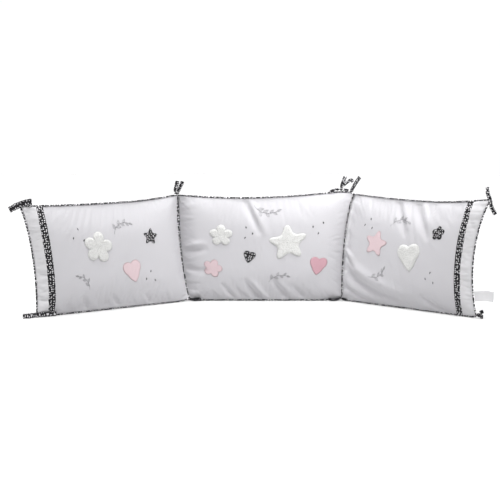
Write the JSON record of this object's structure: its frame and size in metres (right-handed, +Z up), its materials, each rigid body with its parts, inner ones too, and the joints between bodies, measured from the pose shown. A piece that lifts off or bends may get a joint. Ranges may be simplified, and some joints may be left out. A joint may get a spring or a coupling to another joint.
{
  "type": "crib bumper",
  "caption": "Padded cot bumper of joined cloth panels with piped edges, end bands, sewn-on shapes and corner ties, standing on its lower seams as an open U.",
  "frame": {"origin": "under the middle of the middle panel, on the pressed run of its bottom piping, which rests on the floor", "axes": "+X along the middle panel towards the right panel as seen from inside the U, -Y out of its decorated front to the inside of the U, +Z up"},
  "size_m": [1.6191, 0.4667, 0.4616],
  "materials": {
    "shell": "smooth closely woven cotton, matt with a slight sheen",
    "end_strip": "smooth closely woven cotton, matt",
    "spotted": "closely woven cotton printed with small white spots on black, matt",
    "plush": "short-pile plush",
    "pink": "soft cotton jersey, matt",
    "label": "narrow woven satin tape"
  },
  "bodies": {
    "root": {"band_left": "spotted", "band_right": "spotted", "end_strip_left": "end_strip", "end_strip_right": "end_strip", "flower_pink": "pink", "flower_plush": "plush", "flower_plush_small": "plush", "flower_spotted": "spotted", "heart_pink": "pink", "heart_pink_large": "pink", "heart_plush": "plush", "heart_spotted": "spotted", "knot_join_left_foot": "spotted", "knot_join_left_top": "spotted", "knot_join_right_foot": "spotted", "knot_join_right_top": "spotted", "knot_right_foot": "spotted", "label": "label", "panel_left": "shell", "panel_middle": "shell", "panel_right": "shell", "piping_left": "spotted", "piping_middle": "spotted", "piping_right": "spotted", "star_pink": "pink", "star_plush_large": "plush", "star_spotted": "spotted", "tie_join_left_foot_a": "spotted", "tie_join_left_foot_b": "spotted", "tie_join_left_top_a": "spotted", "tie_join_left_top_b": "spotted", "tie_join_right_foot_a": "spotted", "tie_join_right_foot_b": "spotted", "tie_join_right_top_a": "spotted", "tie_join_right_top_b": "spotted", "tie_join_right_top_c": "spotted", "tie_join_right_top_d": "spotted", "tie_join_right_top_e": "spotted", "tie_left_foot": "spotted", "tie_left_top": "spotted", "tie_right_foot_a": "spotted", "tie_right_foot_b": "spotted", "tie_right_top": "spotted"}
  },
  "joints": []
}
